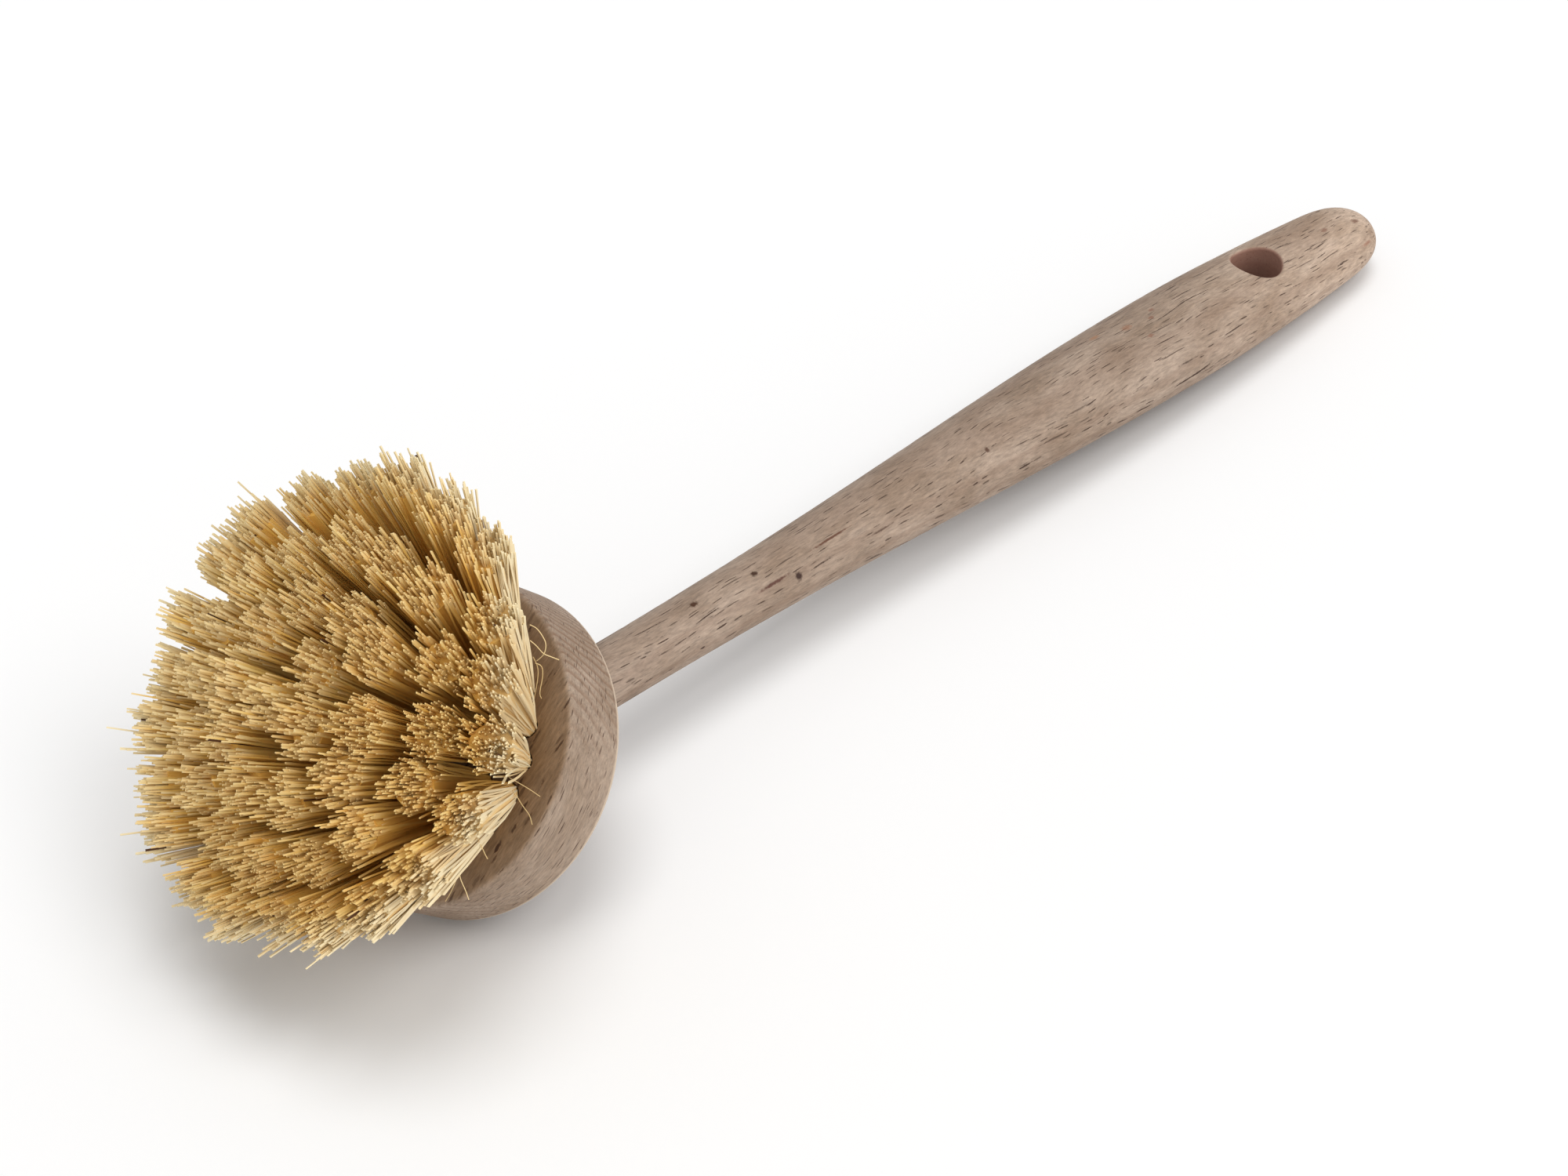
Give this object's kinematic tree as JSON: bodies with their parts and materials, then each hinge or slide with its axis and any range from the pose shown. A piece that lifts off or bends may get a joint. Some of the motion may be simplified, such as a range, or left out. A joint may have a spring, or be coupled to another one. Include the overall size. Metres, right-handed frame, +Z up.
{
  "type": "dish brush",
  "caption": "Dish brush with a round domed wooden head, a long angled wooden handle with a hanging hole, and fanned plant-fibre bristles.",
  "frame": {"origin": "middle of the bottom of the whole brush's box, on the surface that it lies on", "axes": "+X along the brush towards the end of the handle, +Z up from the surface, with the middle plane of the handle at y = -2.0 mm, because the tufts lean towards +Y"},
  "size_m": [0.2592, 0.0694, 0.0653],
  "materials": {
    "beech_head": "fine-sanded bare beech",
    "beech_handle": "fine-sanded bare beech",
    "bristle_fibre": "dry straw-coloured plant fibre",
    "anchor_wire": "galvanised flat wire"
  },
  "bodies": {
    "root": {"head": "beech_head", "handle": "beech_handle", "tuft_anchors": "anchor_wire", "tuft_ring1_01": "bristle_fibre", "tuft_ring1_02": "bristle_fibre", "tuft_ring1_03": "bristle_fibre", "tuft_ring1_04": "bristle_fibre", "tuft_ring1_05": "bristle_fibre", "tuft_ring1_06": "bristle_fibre", "tuft_ring1_07": "bristle_fibre", "tuft_ring1_08": "bristle_fibre", "tuft_ring1_09": "bristle_fibre", "tuft_ring1_10": "bristle_fibre", "tuft_ring1_11": "bristle_fibre", "tuft_ring1_12": "bristle_fibre", "tuft_ring1_13": "bristle_fibre", "tuft_ring1_14": "bristle_fibre", "tuft_ring1_15": "bristle_fibre", "tuft_ring1_16": "bristle_fibre", "tuft_ring1_17": "bristle_fibre", "tuft_ring1_18": "bristle_fibre", "tuft_ring1_19": "bristle_fibre", "tuft_ring1_20": "bristle_fibre", "tuft_ring1_21": "bristle_fibre", "tuft_ring1_22": "bristle_fibre", "tuft_ring2_01": "bristle_fibre", "tuft_ring2_02": "bristle_fibre", "tuft_ring2_03": "bristle_fibre", "tuft_ring2_04": "bristle_fibre", "tuft_ring2_05": "bristle_fibre", "tuft_ring2_06": "bristle_fibre", "tuft_ring2_07": "bristle_fibre", "tuft_ring2_08": "bristle_fibre", "tuft_ring2_09": "bristle_fibre", "tuft_ring2_10": "bristle_fibre", "tuft_ring2_11": "bristle_fibre", "tuft_ring2_12": "bristle_fibre", "tuft_ring2_13": "bristle_fibre", "tuft_ring2_14": "bristle_fibre", "tuft_ring2_15": "bristle_fibre", "tuft_ring2_16": "bristle_fibre", "tuft_ring3_01": "bristle_fibre", "tuft_ring3_02": "bristle_fibre", "tuft_ring3_03": "bristle_fibre", "tuft_ring3_04": "bristle_fibre", "tuft_ring3_05": "bristle_fibre", "tuft_ring3_06": "bristle_fibre", "tuft_ring3_07": "bristle_fibre", "tuft_ring3_08": "bristle_fibre", "tuft_ring3_09": "bristle_fibre", "tuft_ring3_10": "bristle_fibre", "tuft_ring4_01": "bristle_fibre", "tuft_ring4_02": "bristle_fibre", "tuft_ring4_03": "bristle_fibre"}
  },
  "joints": []
}
